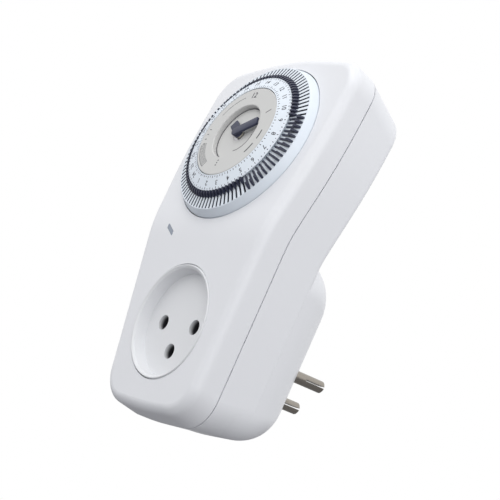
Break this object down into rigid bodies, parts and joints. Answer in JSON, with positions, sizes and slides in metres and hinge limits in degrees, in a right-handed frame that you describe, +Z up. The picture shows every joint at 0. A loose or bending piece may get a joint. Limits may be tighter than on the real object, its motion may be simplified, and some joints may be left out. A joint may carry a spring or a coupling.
{
  "type": "plug in timer switch",
  "caption": "White plug-in timer switch with a pear-shaped leaning body, a round recessed socket, a toothed day dial with small clock hands, and round plug pins behind.",
  "frame": {"origin": "centre of the plug face, midway between the live and neutral pins", "axes": "+Z up, the front with socket and dial faces -Y, the plug pins point along +Y"},
  "size_m": [0.0804, 0.0704, 0.1392],
  "materials": {
    "shell_white": "satin",
    "socket_white": "satin",
    "dial_pale": "satin",
    "face_grey": "matte",
    "tripper_navy": "satin",
    "hand_navy": "satin",
    "lens_grey": "clear",
    "lamp_glass": "clear",
    "pin_nickel": "brushed",
    "contact_brass": "plain",
    "plate_plastic": "matte",
    "gear_plastic": "matte",
    "steel": "plain",
    "motor_can": "plain",
    "switch_dark": "matte",
    "resistor_body": "matte"
  },
  "bodies": {
    "housing": {"front_shell": "shell_white", "rear_shell": "shell_white", "housing_screws": "steel", "socket_insert": "socket_white", "indicator_lens": "lens_grey", "indicator_lamp": "lamp_glass", "lamp_resistor": "resistor_body", "live_pin": "pin_nickel", "neutral_pin": "pin_nickel", "earth_pin": "pin_nickel", "live_contact": "contact_brass", "neutral_contact": "contact_brass", "earth_contact": "contact_brass", "neutral_strap": "contact_brass", "earth_strap": "contact_brass", "live_strap_in": "contact_brass", "live_strap_out": "contact_brass", "contact_block": "plate_plastic", "mechanism_plate": "plate_plastic", "bridge_plate": "steel", "centre_pipe": "steel", "clock_disc": "face_grey", "motion_stud": "steel", "motor_body": "motor_can", "switch_body": "switch_dark", "feeler_pin": "steel"},
    "dial": {"dial_body": "dial_pale", "numeral_ring": "dial_pale", "trippers_in": "tripper_navy", "trippers_out": "tripper_navy"},
    "hour": {"hour_wheel": "gear_plastic", "hour_hand": "hand_navy"},
    "minute": {"minute_arbor": "steel", "minute_hand": "hand_navy"},
    "motion": {"motion_wheel": "gear_plastic"},
    "motor_shaft": {"motor_pinion": "gear_plastic"},
    "feeler": {"feeler_lever": "steel"},
    "button": {"switch_button": "switch_dark"},
    "tripper_body_1": {"tripper_1": "tripper_navy"},
    "tripper_body_2": {"tripper_2": "tripper_navy"},
    "tripper_body_3": {"tripper_3": "tripper_navy"},
    "tripper_body_4": {"tripper_4": "tripper_navy"},
    "tripper_body_5": {"tripper_5": "tripper_navy"},
    "tripper_body_6": {"tripper_6": "tripper_navy"},
    "tripper_body_7": {"tripper_7": "tripper_navy"},
    "tripper_body_8": {"tripper_8": "tripper_navy"}
  },
  "joints": [
    {"name": "dial_turn", "type": "hinge", "parent": "housing", "child": "dial", "pos_m": [0, -0.04081, 0.07109], "axis": [0, 0.982, -0.1891], "continuous": true},
    {"name": "hour_turn", "type": "hinge", "parent": "housing", "child": "hour", "pos_m": [0, -0.04081, 0.07109], "axis": [0, 0.982, -0.1891], "continuous": true},
    {"name": "minute_turn", "type": "hinge", "parent": "housing", "child": "minute", "pos_m": [0, -0.04081, 0.07109], "axis": [0, 0.982, -0.1891], "continuous": true},
    {"name": "motion_turn", "type": "hinge", "parent": "housing", "child": "motion", "pos_m": [0.01, -0.03917, 0.05314], "axis": [0, 0.982, -0.1891], "continuous": true},
    {"name": "motor_turn", "type": "hinge", "parent": "housing", "child": "motor_shaft", "pos_m": [-0.01, -0.03917, 0.05314], "axis": [0, 0.982, -0.1891], "continuous": true},
    {"name": "feeler_tilt", "type": "hinge", "parent": "housing", "child": "feeler", "pos_m": [0.0356, -0.03629, 0.07022], "axis": [0, -0.1891, -0.982], "range_deg": [0, 10], "stiffness_Nm_per_rad": 0.0005},
    {"name": "button_press", "type": "slide", "parent": "housing", "child": "button", "axis": [0, 0.982, -0.1891], "range_m": [0, 0.0008]},
    {"name": "tripper_slide_1", "type": "slide", "parent": "dial", "child": "tripper_body_1", "axis": [-0.9791, -0.2034, 0.0057], "range_m": [0, 0.00367]},
    {"name": "tripper_slide_2", "type": "slide", "parent": "dial", "child": "tripper_body_2", "axis": [-0.9748, -0.2155, -0.0571], "range_m": [0, 0.00367]},
    {"name": "tripper_slide_3", "type": "slide", "parent": "dial", "child": "tripper_body_3", "axis": [-0.9664, -0.2275, -0.1196], "range_m": [0, 0.00367]},
    {"name": "tripper_slide_4", "type": "slide", "parent": "dial", "child": "tripper_body_4", "axis": [-0.9538, -0.2394, -0.1813], "range_m": [0, 0.00367]},
    {"name": "tripper_slide_5", "type": "slide", "parent": "dial", "child": "tripper_body_5", "axis": [0.9372, 0.2511, 0.2421], "range_m": [0, 0.00367]},
    {"name": "tripper_slide_6", "type": "slide", "parent": "dial", "child": "tripper_body_6", "axis": [0.9165, 0.2626, 0.3017], "range_m": [0, 0.00367]},
    {"name": "tripper_slide_7", "type": "slide", "parent": "dial", "child": "tripper_body_7", "axis": [0.892, 0.2738, 0.3598], "range_m": [0, 0.00367]},
    {"name": "tripper_slide_8", "type": "slide", "parent": "dial", "child": "tripper_body_8", "axis": [0.8636, 0.2847, 0.4162], "range_m": [0, 0.00367]}
  ],
  "couplings": [
    {"joint": "hour_turn", "follows": "dial_turn", "ratio": 2},
    {"joint": "minute_turn", "follows": "dial_turn", "ratio": 24},
    {"joint": "motion_turn", "follows": "dial_turn", "ratio": -8},
    {"joint": "motor_turn", "follows": "dial_turn", "ratio": 24},
    {"joint": "button_press", "follows": "feeler_tilt", "m_per_rad": 0.0042972}
  ]
}
